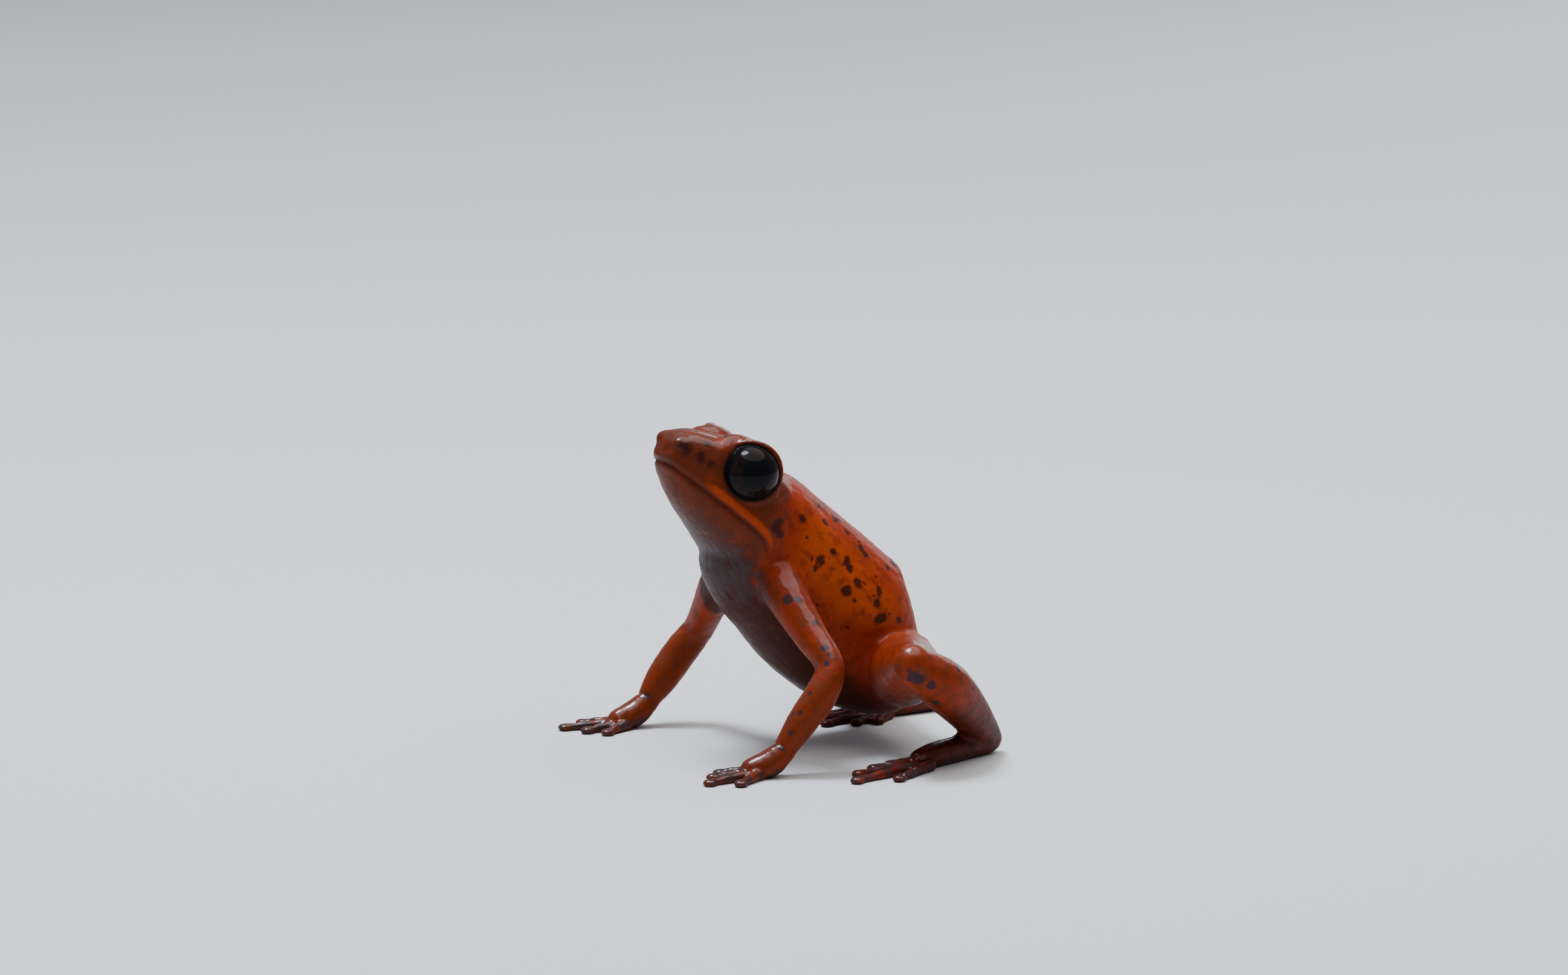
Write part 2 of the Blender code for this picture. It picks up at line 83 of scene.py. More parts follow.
def cross_section(place, half_width, above, below, squareness=2.0):
    """One ring of the body in its place. Its halves differ in height, and the upper can be squarer."""
    bpy.ops.object.select_all(action="DESELECT")
    bpy.ops.mesh.primitive_circle_add(vertices=36, radius=1)
    ring = bpy.context.object
    bpy.ops.object.mode_set(mode="EDIT")
    edge = bmesh.from_edit_mesh(ring.data)
    for vertex in edge.verts:
        power = 2 / squareness if vertex.co.y > 0 else 1
        vertex.co = [math.copysign(abs(part) ** power, part) for part in vertex.co]
        vertex.select_set(vertex.co.y < 0)
    bmesh.update_edit_mesh(ring.data)
    bpy.ops.transform.resize(value=(1, below / above, 1), center_override=(0, 0, 0))
    bpy.ops.mesh.select_all(action="SELECT")
    bpy.ops.transform.resize(value=(half_width, above, 1), center_override=(0, 0, 0))
    bpy.ops.object.mode_set(mode="OBJECT")
    ring.matrix_world = place
    return ring


def joined(pieces):
    """The pieces as one object, whose place is in its mesh."""
    bpy.ops.object.select_all(action="DESELECT")
    for piece in pieces:
        piece.select_set(True)
    bpy.context.view_layer.objects.active = pieces[0]
    bpy.ops.object.join()
    bpy.ops.object.transform_apply(location=True, rotation=True, scale=True)
    return bpy.context.object


def loft(rings):
    """A closed form through rings."""
    form = joined(rings)
    bpy.ops.object.mode_set(mode="EDIT")
    bpy.ops.mesh.select_all(action="SELECT")
    bpy.ops.mesh.bridge_edge_loops()
    bpy.ops.mesh.select_all(action="SELECT")
    bpy.ops.mesh.fill_holes(sides=0)
    bpy.ops.mesh.normals_make_consistent(inside=False)
    bpy.ops.object.mode_set(mode="OBJECT")
    return form


trunk_rings = []
for back_y, back_z, belly_y, belly_z, half_width in smooth_run(TRUNK, 3):
    spine_side, belly_side = Vector((0, back_y, back_z)), Vector((0, belly_y, belly_z))
    half_depth = (spine_side - belly_side).length / 2
    upward = (spine_side - belly_side).normalized()
    axes = Matrix((Vector((1, 0, 0)), upward, Vector((1, 0, 0)).cross(upward))).transposed().to_4x4()
    axes.translation = (spine_side + belly_side) / 2
    trunk_rings.append(cross_section(axes, half_width, half_depth, half_depth))
soft_forms = [loft(trunk_rings)]

# The head: short and blunt, raised 26 degrees, turned a little to its left and tilted, with a swelling
# over each eye. It is drawn as the trunk is, along its own axes: to its left, back from the snout and up.
NAPE = Vector((0.0, 6.36, 13.35))
HEAD_LENGTH = 7.3
HEAD_PITCH, HEAD_YAW, HEAD_ROLL = math.radians(26), math.radians(10), math.radians(4)
# Each row: how far back, half the width, the top, the widest level, the underside and how square the upper
# half is
HEAD = (
    (0.30, 0.94, 1.06, 0.20, -0.32, 2.6),
    (0.70, 1.24, 1.36, -0.20, -0.98, 2.7),
    (1.6, 1.76, 1.68, -0.55, -1.80, 3.2),
    (2.7, 2.28, 1.88, -0.95, -2.48, 3.4),
    (4.0, 2.88, 2.00, -1.40, -3.08, 2.8),
    (5.5, 3.36, 1.90, -1.80, -3.86, 2.4),
    (7.0, 3.46, 1.62, -2.10, -4.78, 2.2),
    (8.5, 3.30, 1.10, -2.20, -5.50, 2.0),
)
EYE_CENTRE = (2.2, 4.31, 0.76)
EYE_RADIUS = 1.55
# How far the flesh stands off the eyeball
ORBIT_MARGIN = 0.14
SNOUT_CENTRE = (0, 0.7, 0.48)
SNOUT_RADII = (1.1, 0.6, 0.62)
BROW_CENTRE = (1.28, 3.95, 0.6)
BROW_RADII = (1.32, 2.0, 1.88)
NOSTRIL_CENTRE = (0.78, 0.8, 0.62)
NOSTRIL_RADII = (0.5, 0.72, 0.54)
CHEEK_CENTRE = (1.95, 5.3, -0.3)
CHEEK_RADII = (1.25, 2.5, 1.7)
# The fullness under the throat is placed along the frog's own axes
THROAT_CENTRE = (0, 4.85, 10.35)
THROAT_RADII = (2.9, 1.85, 1.95)

forward = Vector((math.sin(HEAD_YAW) * math.cos(HEAD_PITCH), -math.cos(HEAD_YAW) * math.cos(HEAD_PITCH),
                  math.sin(HEAD_PITCH)))
leftward = Matrix.Rotation(HEAD_ROLL, 3, -forward) @ Vector((math.cos(HEAD_YAW), math.sin(HEAD_YAW), 0))
head_place = Matrix((leftward, -forward, leftward.cross(-forward))).transposed().to_4x4()
head_place.translation = NAPE + forward * HEAD_LENGTH


def on_head(place, sign=1):
    """A place of the head, on the frog's left (1) or right (-1), in the frog's own frame."""
    return head_place @ Vector((place[0] * sign, place[1], place[2]))


def ball(place, centre, radii):
    """A swelling: an ellipsoid with its radii along the axes of its place."""
    bpy.ops.object.select_all(action="DESELECT")
    bpy.ops.mesh.primitive_uv_sphere_add(segments=32, ring_count=20, radius=1)
    made = bpy.context.object
    made.matrix_world = place @ Matrix.Translation(centre) @ Matrix.Diagonal((*radii, 1))
    return made


head_rings = []
for back, half_width, top, level, underside, squareness in smooth_run(HEAD, 3):
    axes = head_place @ Matrix.Translation((0, back, level)) @ Matrix.Rotation(math.pi / 2, 4, "X")
    head_rings.append(cross_section(axes, half_width, top - level, level - underside, squareness))
soft_forms.append(loft(head_rings))
soft_forms.append(ball(head_place, SNOUT_CENTRE, SNOUT_RADII))
soft_forms.append(ball(Matrix.Identity(4), THROAT_CENTRE, THROAT_RADII))
for sign in (1, -1):
    for (out, back, up), radii in ((BROW_CENTRE, BROW_RADII), (CHEEK_CENTRE, CHEEK_RADII),
                                   (NOSTRIL_CENTRE, NOSTRIL_RADII),
                                   (EYE_CENTRE, (EYE_RADIUS + ORBIT_MARGIN,) * 3)):
        soft_forms.append(ball(head_place, (out * sign, back, up), radii))

# The limbs: slim forelegs held straight, and hind legs folded beside the body. Each is a curve through
# its joints that swells with the muscles between them. The rows hold x, y, z and the radius.
ARM = {
    "left": ((2.6, 5.9, 9.6, 1.35), (3.9, 5.9, 8.8, 1.14), (5.6, 6.4, 7.1, 0.92),
             (7.1, 6.9, 5.6, 0.78), (7.5, 6.3, 4.3, 0.88), (7.4, 5.2, 2.8, 0.82), (7.3, 4.2, 1.4, 0.60)),
    "right": ((-2.6, 5.7, 9.1, 1.35), (-3.8, 5.5, 8.2, 1.14), (-5.4, 5.5, 6.6, 0.92),
              (-6.8, 5.5, 5.2, 0.84), (-7.4, 4.8, 4.0, 0.92), (-7.6, 3.8, 2.6, 0.88), (-7.6, 2.9, 1.4, 0.62)),
}
THIGH = {
    "left": ((2.0, 13.2, 4.1, 2.1), (4.8, 12.3, 4.5, 1.9), (7.6, 11.2, 5.2, 1.5), (9.9, 10.3, 5.95, 1.08)),
    "right": ((-2.0, 13.2, 4.1, 2.1), (-4.8, 13.7, 4.5, 1.9), (-7.6, 14.4, 5.2, 1.5),
              (-10.2, 15.0, 5.95, 1.08)),
}
SHANK = {
    "left": ((9.9, 10.4, 5.8, 1.05), (9.45, 12.2, 4.65, 1.36), (7.9, 14.3, 2.9, 1.18), (6.1, 16.4, 0.9, 0.8)),
    "right": ((-10.2, 15.1, 5.7, 1.05), (-9.35, 16.3, 4.3, 1.33), (-7.6, 18.0, 2.2, 1.1),
              (-5.6, 20.3, 0.9, 0.8)),
}
TARSUS = {
    "left": ((6.1, 16.4, 0.8, 0.82), (7.1, 14.4, 0.64, 0.7), (8.1, 12.4, 0.6, 0.68),
             (8.5, 11.4, 0.48, 0.6)),
    "right": ((-5.6, 20.3, 0.8, 0.82), (-5.25, 18.3, 0.64, 0.7), (-4.9, 16.3, 0.6, 0.68),
              (-4.65, 15.1, 0.48, 0.6)),
}


# Where a length of flesh ends, it is rounded off at these turns of a quarter circle
CAP_TURNS = (0.4, 0.8, 1.2, 1.5)


def tube(knots, closed=False, steps=5):
    """A round length of flesh along its knots: a curve with a swelling bevel, made a mesh."""
    if closed:
        run = smooth_run([*knots, knots[0]], steps)[:-1]
    else:
        run = smooth_run(knots, steps)
        for index, step in ((0, run[0] - run[1]), (-1, run[-1] - run[-2])):
            outward = step[:3] / np.linalg.norm(step[:3])
            end, radius = run[index].copy(), run[index][3]
            caps = [np.append(end[:3] + outward * radius * math.sin(turn), radius * math.cos(turn))
                    for turn in CAP_TURNS]
            run = np.vstack([caps[::-1], run]) if index == 0 else np.vstack([run, caps])
    bpy.ops.object.select_all(action="DESELECT")
    bpy.ops.curve.primitive_nurbs_path_add()
    made = bpy.context.object
    path = made.data
    path.splines.clear()
    spline = path.splines.new("POLY")
    spline.points.add(len(run) - 1)
    for point, (x, y, z, radius) in zip(spline.points, run):
        point.co = (x, y, z, 1)
        point.radius = radius
    spline.use_cyclic_u = closed
    path.bevel_depth = 1
    path.bevel_resolution = 6
    path.use_fill_caps = not closed
    bpy.ops.object.convert(target="MESH")
    return bpy.context.object


for side in ("left", "right"):
    for part in (ARM, THIGH, SHANK, TARSUS):
        soft_forms.append(tube(part[side]))


# One pass of smoothing draws the skin in and the next lets it out again
EASING = (0.5, -0.52)


def fused(pieces, voxel, rounds):
    """One closed skin over all the pieces, whose joins are smoothed without shrinking it."""
    made = joined(pieces)
    cover = made.modifiers.new("Cover", "REMESH")
    cover.mode = "VOXEL"
    cover.voxel_size = voxel
    cover.use_smooth_shade = True
    for factor in EASING * rounds:
        easing = made.modifiers.new("Easing", "SMOOTH")
        easing.factor = factor
        easing.iterations = 1
    for modifier in list(made.modifiers):
        bpy.ops.object.modifier_apply(modifier=modifier.name)
    return made


soft_body = fused(soft_forms, voxel=0.15, rounds=12)

# The lids: a rounded fold of skin over the top and back of each eye, thinner in front and below, where it
# lies close round the eyeball. The flesh inside its opening is pressed back behind the ball, and the lid
# itself is a closed tube round the opening.
EYE_AXIS = Vector((0.94, -0.33, 0.08))
LID_PLACES = 28
LID_THICKNESS = 0.13
LID_SWELL = 0.04
# How deep behind the ball's surface the flesh inside the opening is pressed
PRESSED_DEPTH = 0.3


def eye_axes(sign):
    """The middle of an eye and its directions outwards, ahead and up, on the head's own axes."""
    outward = Vector((EYE_AXIS.x * sign, EYE_AXIS.y, EYE_AXIS.z)).normalized()
    ahead = Vector((0, -1, 0))
    ahead = (ahead - outward * outward.dot(ahead)).normalized()
    above = Vector((0, 0, 1)) - outward * outward.z - ahead * ahead.z
    return Vector((EYE_CENTRE[0] * sign, *EYE_CENTRE[1:])), outward, ahead, above.normalized()


def lid_opening(turn):
    """How far from its axis an eye is open, as an angle, at each turn from ahead (0) over the top."""
    return np.radians(81 + 11 * np.cos(turn) - 14 * np.sin(turn) ** 2)


def lid(sign):
    """The fold of skin round one eye."""
    centre, outward, ahead, above = eye_axes(sign)
    knots = []
    for turn in np.linspace(0, math.tau, LID_PLACES, endpoint=False):
        thickness = LID_THICKNESS + LID_SWELL * max(0, math.sin(turn - 0.3)) ** 1.5
        opening = lid_opening(turn) + thickness / EYE_RADIUS
        sideways = ahead * math.cos(turn) + above * math.sin(turn)
        reach = EYE_RADIUS + 0.4 * thickness
        place = centre + (outward * math.cos(opening) + sideways * math.sin(opening)) * reach
        knots.append((*(head_place @ place), thickness))
    return tube(knots, closed=True, steps=3)


def fade(value, start, end):
    """0 up to start and 1 from end on, with a soft step between."""
    part = np.clip((value - start) / (end - start), 0, 1)
    return part * part * (3 - 2 * part)


corners = np.empty(len(soft_body.data.vertices) * 3)
soft_body.data.vertices.foreach_get("co", corners)
corners = corners.reshape(-1, 3)
for sign in (1, -1):
    centre, *axes = eye_axes(sign)
    offsets = corners - np.array(head_place @ centre)
    out_part, ahead_part, above_part = (offsets @ np.array(head_place.to_3x3() @ axis) for axis in axes)
    distance = np.linalg.norm(offsets, axis=1)
    turn = np.arctan2(above_part, ahead_part)
    beyond = np.arccos(out_part / distance) - lid_opening(turn) - 0.06
    allowed = np.where(beyond < 0, EYE_RADIUS - PRESSED_DEPTH, EYE_RADIUS + ORBIT_MARGIN + 14 * beyond ** 2)
    over_eye = 0.4 * np.maximum(0, np.sin(turn)) ** 2
    near_part = 1 - fade(distance, EYE_RADIUS + 0.15 + over_eye, EYE_RADIUS + 0.5 + over_eye)
    corners -= offsets * (np.maximum(0, distance - allowed) * near_part / distance)[:, None]
soft_body.data.vertices.foreach_set("co", corners.ravel())
fine_forms = [soft_body, lid(1), lid(-1)]

# The hands and feet: a small soft palm or sole, four slim fingers and five slim toes, each with a low
# swelling at its joints and a round pad at its tip. They lie flat on the floor.
PALM = {
    "left": ((7.3, 4.2, 1.35, 0.64), (7.2, 3.4, 0.72, 0.74), (7.1, 2.5, 0.48, 0.62)),
    "right": ((-7.6, 2.9, 1.35, 0.64), (-7.6, 2.1, 0.72, 0.74), (-7.5, 1.2, 0.48, 0.62)),
}
# Fingers and toes from the inner one outwards: length and spread from straight ahead
FINGERS = ((1.7, 36), (2.1, 13), (2.9, -8), (2.0, -32))
TOES = ((1.5, 34), (2.5, 20), (3.7, 7), (4.9, -6), (3.1, -21))
HAND_TURN = {"left": 6, "right": 4}
FOOT_TURN = {"left": 14, "right": -10}
DIGIT_SPACING = 0.3
DIGIT_LEVEL = 0.15
# Along each digit: part of its length, radius and lift over the floor
DIGIT_SWELL = ((0.0, 0.35, 0.14), (0.2, 0.29, 0.14), (0.36, 0.285, 0.11), (0.5, 0.25, 0.08),
               (0.64, 0.265, 0.07), (0.82, 0.215, 0.04), (1.0, 0.22, 0.02))
PAD_RADII = (0.37, 0.4, 0.21)


def digit(root, heading, length):
    """One finger or toe with the pad at its tip."""
    reach = Vector((math.sin(heading), -math.cos(heading), 0))
    knots = []
    for part, radius, lift in DIGIT_SWELL:
        place = root + reach * length * part
        knots.append((place.x, place.y, DIGIT_LEVEL + lift, radius))
    tip = Matrix.Translation((place.x, place.y, DIGIT_LEVEL + lift)) @ Matrix.Rotation(heading, 4, "Z")
    return [tube(knots, steps=3), ball(tip, (0, 0, 0), PAD_RADII)]


def digits(side, root, plan, turn):
    """All the fingers or toes of one hand or foot, fanned out from its root."""
    sign = 1 if side == "left" else -1
    made = []
    for number, (length, spread) in enumerate(plan):
        offset = (number - (len(plan) - 1) / 2) * DIGIT_SPACING * sign
        start = Vector((root[0] + offset, root[1] + 0.5 * abs(offset), 0))
        made += digit(start, math.radians(turn - spread) * sign, length)
    return made


for side in ("left", "right"):
    fine_forms.append(tube(PALM[side]))
    fine_forms += digits(side, PALM[side][-1], FINGERS, HAND_TURN[side])
    fine_forms += digits(side, TARSUS[side][-1], TOES, FOOT_TURN[side])

# The skin: all the flesh under one thin, moist, finely granular skin. The forms are fused into one mesh,
# and lips, nostrils, eardrums, ridges and creases are then pressed or raised along lines on it.
skin = fused(fine_forms, voxel=0.105, rounds=5)
skin.name = "skin"
SKIN_TRIANGLES = 190000
MOUTH_FRONT = -0.42
MOUTH_SLOPE = 0.27
MOUTH_CORNER = 6.6
NOSTRIL = (1.3, 0.72, 0.62)
EARDRUM = (4, 6.35, -1.05)


def on_skin(place, sign):
    """The point of the skin nearest to a place of the head."""
    return skin.closest_point_on_mesh(on_head(place, sign))[1]


def mouth_height(back):
    """How high the line of the mouth is, on the head's own axes."""
    return MOUTH_FRONT - MOUTH_SLOPE * back - 0.3 * np.maximum(0, back - MOUTH_CORNER + 1.2) ** 2


def mouth_line(shift=0.0):
    """A line along the mouth from its left corner round the snout to its right one."""
    inward, backward = (head_place.to_3x3() @ Vector(way) for way in ((-1, 0, 0), (0, 1, 0)))
    left, right = ([skin.ray_cast(on_head((5, back, mouth_height(back) + shift), sign), inward * sign)[1]
                    for back in np.linspace(0.9, MOUTH_CORNER, 22)] for sign in (1, -1))
    front = [skin.ray_cast(on_head((out, -2, mouth_height(0.4) + shift)), backward)[1]
             for out in np.linspace(0.9, -0.9, 7)]
    return [*reversed(left), *front, *right]


def circle_on_head(centre, radius, sign):
    """A ring on the side of the head."""
    out, back, up = centre
    return [on_skin((out, back + radius * math.cos(turn), up + radius * math.sin(turn)), sign)
            for turn in np.linspace(0, math.tau, 17)]


points = np.empty(len(skin.data.vertices) * 3)
skin.data.vertices.foreach_get("co", points)
points = points.reshape(-1, 3)


def stroke(path, reach, lift):
    """Raise the skin along a path, or press it where lift is less than 0, fading out at its reach."""
    nearest = np.full(len(points), np.inf)
    for start, end in zip(path, path[1:] or path):
        start, run = np.array(start), np.array(end) - np.array(start)
        part = np.clip((points - start) @ run / max(run @ run, 1e-9), 0, 1)
        nearest = np.minimum(nearest, np.linalg.norm(points - start - np.outer(part, run), axis=1))
    weights = np.round(32 * np.clip(1 - (nearest / reach) ** 2, 0, 1) ** 2)
    group = skin.vertex_groups.new(name="stroke")
    for weight in range(1, 33):
        group.add(np.flatnonzero(weights == weight).tolist(), weight / 32, "REPLACE")
    press = skin.modifiers.new("Press", "DISPLACE")
    press.vertex_group = group.name
    press.mid_level = 0
    press.strength = lift


stroke(mouth_line(0.36), 0.5, 0.06)
stroke(mouth_line(-0.3), 0.34, 0.03)
stroke(mouth_line(), 0.22, -0.085)
for sign in (1, -1):
    # The nostril, and the blunt ridge from it to the eye
    nostril = on_skin(NOSTRIL, sign)
    stroke([nostril], 0.42, 0.05)
    stroke([nostril], 0.21, -0.16)
    ridge = ((1.2, 1.1, 1.1), (1.7, 1.9, 1.4), (2.2, 2.7, 1.6))
    stroke([on_skin(place, sign) for place in ridge], 0.5, 0.04)
    # The eardrum behind the corner of the mouth, and the fold over it
    stroke(circle_on_head(EARDRUM, 0.5, sign), 0.16, 0.02)
    stroke([on_skin(EARDRUM, sign)], 0.55, -0.04)
    fold = ((3.5, 5.6, 0.3), (3.6, 6.6, -0.1), (3.7, 7.6, -1.0))
    stroke([on_skin(place, sign) for place in fold], 0.4, 0.07)
    # The upper edge of the shoulder, the hollow behind the arm and the crease between flank and thigh
    stroke([(2.4 * sign, 7.6, 13.0), (2.9 * sign, 8.3, 11.6)], 1.3, 0.1)
    stroke([(3.7 * sign, 8.3, 9.2), (3.75 * sign, 8.6, 7.8)], 1.2, -0.1)
    thigh_y = THIGH["left" if sign == 1 else "right"][1][1]
    crease = ((-1.7, 6.2), (0, 6.6), (1.6, 5.6))
    stroke([(3.9 * sign, thigh_y + along, high) for along, high in crease], 0.45, -0.1)
    # The low fold along the flank, and the rise of the hip bone beside the spine
    stroke([(3.5 * sign, 8.5, 10.5), (3.6 * sign, 9.3, 9.8), (3.6 * sign, 10.0, 9.0)], 0.22, 0.05)
    stroke([(0.9 * sign, 13.7, 9.3)], 1.1, 0.12)
# Creases at the knees, inside the elbows and at the wrists, and fine ones over the chest
for side, sign in (("left", 1), ("right", -1)):
    x, y, z, radius = SHANK[side][0]
    stroke([(x + 0.9 * sign, y + 0.6, z + 0.5), (x + 0.95 * sign, y + 0.7, z - 0.8), (x, y + 1.2, z - 1.8)],
           0.3, -0.08)
    x, y, z, radius = ARM[side][3]
    stroke([(x - 0.5 * sign, y - 0.7, z + 0.3), (x + 0.3 * sign, y - 0.8, z - 0.1)], 0.28, -0.09)
    x, y, z, radius = PALM[side][0]
    stroke([(x - 0.6, y - 0.45, z + 0.3), (x, y - 0.5, z + 0.55), (x + 0.6, y - 0.2, z + 0.4)], 0.16, -0.07)
creases = np.random.default_rng(5)
for number in range(9):
    sign = 1 if number < 6 else -1
    start = np.array((creases.uniform(0.6, 2.8) * sign, creases.uniform(3.0, 4.2),
                      creases.uniform(8.6, 11.4)))
    end = start + (0.3 * sign, creases.uniform(0.2, 0.5), creases.uniform(-1.2, -0.6))
    stroke([skin.closest_point_on_mesh(Vector(place))[1] for place in (start, end)], 0.16, -0.03)
# A slight unevenness all over
grain = bpy.data.textures.new("skin_grain", "CLOUDS")
grain.noise_scale = 0.55
grain.noise_depth = 3
granules = skin.modifiers.new("Granules", "DISPLACE")
granules.texture = grain
granules.texture_coords = "LOCAL"
granules.strength = 0.05
bpy.ops.object.select_all(action="DESELECT")
skin.select_set(True)
bpy.context.view_layer.objects.active = skin
bpy.ops.object.convert(target="MESH")
skin.vertex_groups.clear()
# What would reach under the floor is cut off flat
bpy.ops.object.mode_set(mode="EDIT")
bpy.ops.mesh.select_all(action="SELECT")
bpy.ops.mesh.bisect(plane_co=(0, 0, 0), plane_no=(0, 0, 1), use_fill=True, clear_inner=True)
bpy.ops.object.mode_set(mode="OBJECT")
faces = len(skin.data.polygons)
if faces * 2 > SKIN_TRIANGLES:
    thinning = skin.modifiers.new("Thinning", "DECIMATE")
    thinning.ratio = SKIN_TRIANGLES / (2 * faces)
    bpy.ops.object.modifier_apply(modifier=thinning.name)
bpy.ops.object.shade_smooth()

# The markings: small black spots strewn over the back and flanks, dark bars and flecks on the limbs and
# darker hands and feet. Painted light and shade are kept the same way: painted shade on the throat, belly,
# low trunk and lower limbs, in the crease round each eye and along the mouth, and a painted sheen on the
# upper trunk and chest. Each is a value kept at every point of the skin.
# Each spot on the left flank and each mark on the left limbs: x, y, z and the radius
SPOTS = (
    (1.74, 8.65, 13.06, 0.22), (2.97, 7.21, 12.57, 0.26), (2.48, 8.62, 12.25, 0.2), (1.65, 9.62, 12.32, 0.24),
    (1.5, 9.9, 12.1, 0.2), (2.01, 10.2, 11.51, 0.24), (2.25, 10.85, 10.75, 0.26), (2.5, 11.1, 10.4, 0.22),
    (3.18, 9.7, 10.25, 0.25), (3.2, 9.8, 9.85, 0.22), (3.14, 8.88, 10.79, 0.16), (3.4, 8.0, 10.5, 0.26),
    (3.5, 7.75, 10.1, 0.22), (3.43, 10.16, 9.06, 0.24), (3.61, 9.49, 8.79, 0.29), (3.31, 11.44, 8.47, 0.28),
    (3.52, 11.2, 7.97, 0.24), (3.69, 11.34, 7.12, 0.36), (3.34, 12.58, 6.91, 0.22), (2.14, 12.48, 9.48, 0.2),
)
MARKS = (
    (5.05, 5.43, 8.84, 0.28), (5.33, 5.9, 8.78, 0.24), (6.18, 6.53, 7.73, 0.2), (7.2, 6.6, 6.6, 0.24),
    (7.3, 6.8, 6.1, 0.24), (7.3, 6.8, 5.6, 0.2), (7.86, 5.44, 4.4, 0.15), (7.94, 4.85, 3.42, 0.17),
    (7.6, 4.5, 3.4, 0.14), (7.89, 4.32, 2.42, 0.15), (7.5, 3.6, 1.75, 0.2), (7.8, 3.9, 1.6, 0.2),
    (10.93, 10.05, 5.36, 0.5), (10.8, 11.0, 4.9, 0.26), (10.2, 11.5, 4.0, 0.25), (10.1, 12.6, 5.4, 0.24),
    (9.9, 13.6, 4.4, 0.22),
)
points = np.empty(len(skin.data.vertices) * 3)
skin.data.vertices.foreach_get("co", points)
points = points.reshape(-1, 3)
normals = np.array([normal.vector for normal in skin.data.vertex_normals])
x, y, z = points.T
to_head = np.array(head_place.inverted())
out, back, up = (np.column_stack([points, np.ones(len(points))]) @ to_head.T)[:, :3].T


def paint(name, values):
    """Keep a value at every point of the skin under a name that its material reads."""
    layer = skin.data.attributes.new(name, "FLOAT", "POINT")
    layer.data.foreach_set("value", np.asarray(values, dtype=np.float32))


def nearness(places):
    """How far each point is from the nearest place, as a part of that place's radius."""
    nearest = np.full(len(points), 4.0)
    for *place, radius in places:
        on_surface = skin.closest_point_on_mesh(Vector(place))[1]
        nearest = np.minimum(nearest, np.linalg.norm(points - np.array(on_surface), axis=1) / radius)
    return nearest


strewn = np.random.default_rng(11)
spots = list(SPOTS)
for place in SPOTS:
    spots.append((-place[0], place[1] + strewn.uniform(-0.4, 0.4), place[2] + strewn.uniform(-0.4, 0.4),
                  place[3] * strewn.uniform(0.7, 1.1)))
for number in range(16):
    along = strewn.uniform(0, 1)
    spots.append((strewn.uniform(-1.4, 1.4), 7.8 + 6.6 * along, 15 - 7.2 * along, strewn.uniform(0.14, 0.26)))
for number in range(26):
    place = (strewn.uniform(2.4, 3.9), strewn.uniform(7, 12.5), strewn.uniform(6.5, 13))
    spots.append((*place, strewn.uniform(0.06, 0.12)))
for number in range(22):
    place = on_head((strewn.uniform(-2.8, 2.8), strewn.uniform(0.6, 7), 2))
    spots.append((*place, strewn.uniform(0.08, 0.17)))
marks = list(MARKS)
for place in MARKS:
    turned = strewn.uniform(-0.3, 0.3, 3)
    marks.append((-place[0] + turned[0], place[1] + turned[1] - 0.6 * (place[1] < 8) + 4 * (place[1] > 8),
                  place[2] + turned[2], place[3]))
# How far towards the belly a point lies from the middle of the trunk, square to the spine
ventral = 12.1 - (0.716 * y + 0.697 * z)
outside = fade(np.abs(x), 3.7, 4.7)
# Painted shade: the throat under the mouth and the belly, which face down, are darkened
throat_shade = fade(mouth_height(back) - up, 0.1, 1.8) * (1 - fade(back, 7.0, 10.0))
underside_shade = fade(ventral, 0.9, 3.2) * (1 - outside)
front_limb = outside * (y < 8.7)
hind_limb = outside * (y >= 8.7)
paint("underside_shade", np.maximum(throat_shade * 0.8, underside_shade))
paint("head", (1 - fade(back, 5.6, 8.4)) * (1 - 0.35 * fade(up, 0.8, 1.8)))
paint("limb", front_limb * (0.45 + 0.3 * (1 - fade(z, 4.4, 6.4))) + hind_limb * 0.5)
# Painted shade: the limbs darken towards the floor, the hind legs most
paint("limb_floor_shade", front_limb * 0.2 * (1 - fade(z, 1.0, 2.0)) + hind_limb * 0.65 * (1 - fade(z, 2.0, 5.5)))
paint("digits", outside * (1 - fade(z, 0.45, 0.9)))
# Painted light: a lighter orange over the upper middle of the trunk
paint("flank_sheen", np.exp(-((ventral + 0.9) / 1.9) ** 2) * fade(z, 5.0, 8.0) * (1 - outside)
      * fade(back, 7.0, 9.5))
# Painted shade with a painted blue-grey sheen on the chest
paint("chest_shade_and_sheen", np.exp(-((y - 3.5) ** 2 + (z - 10.3) ** 2) / 2.1 ** 2) * fade(ventral, 0.8, 3.0)
      * (1 - outside))
paint("wet", fade(normals[:, 2], 0.2, 0.75) * (0.12 + 0.55 * (1 - fade(back, 5.5, 8.0)) + 0.7 * outside
                                                 * (1 - 0.5 * fade(y, 9.0, 12.0))))
# Painted shade over the low trunk, nearest the floor
paint("low_trunk_shade", (1 - fade(z, 1.6, 5.2)) * (1 - outside))
paint("lip", np.exp(-((up - mouth_height(back) - 0.34) / 0.26) ** 2) * fade(back, 1.2, 3.2)
      * (1 - fade(back, 6.2, 7.0)) * (np.abs(out) > 0.8))
# Painted shade along the groove of the mouth
paint("mouth_groove_shade", np.exp(-((up - mouth_height(back)) / 0.1) ** 2) * (1 - fade(back, 6.3, 6.7))
      * (np.abs(out) < 4))
paint("spots", nearness(spots))
paint("marks", nearness(marks))
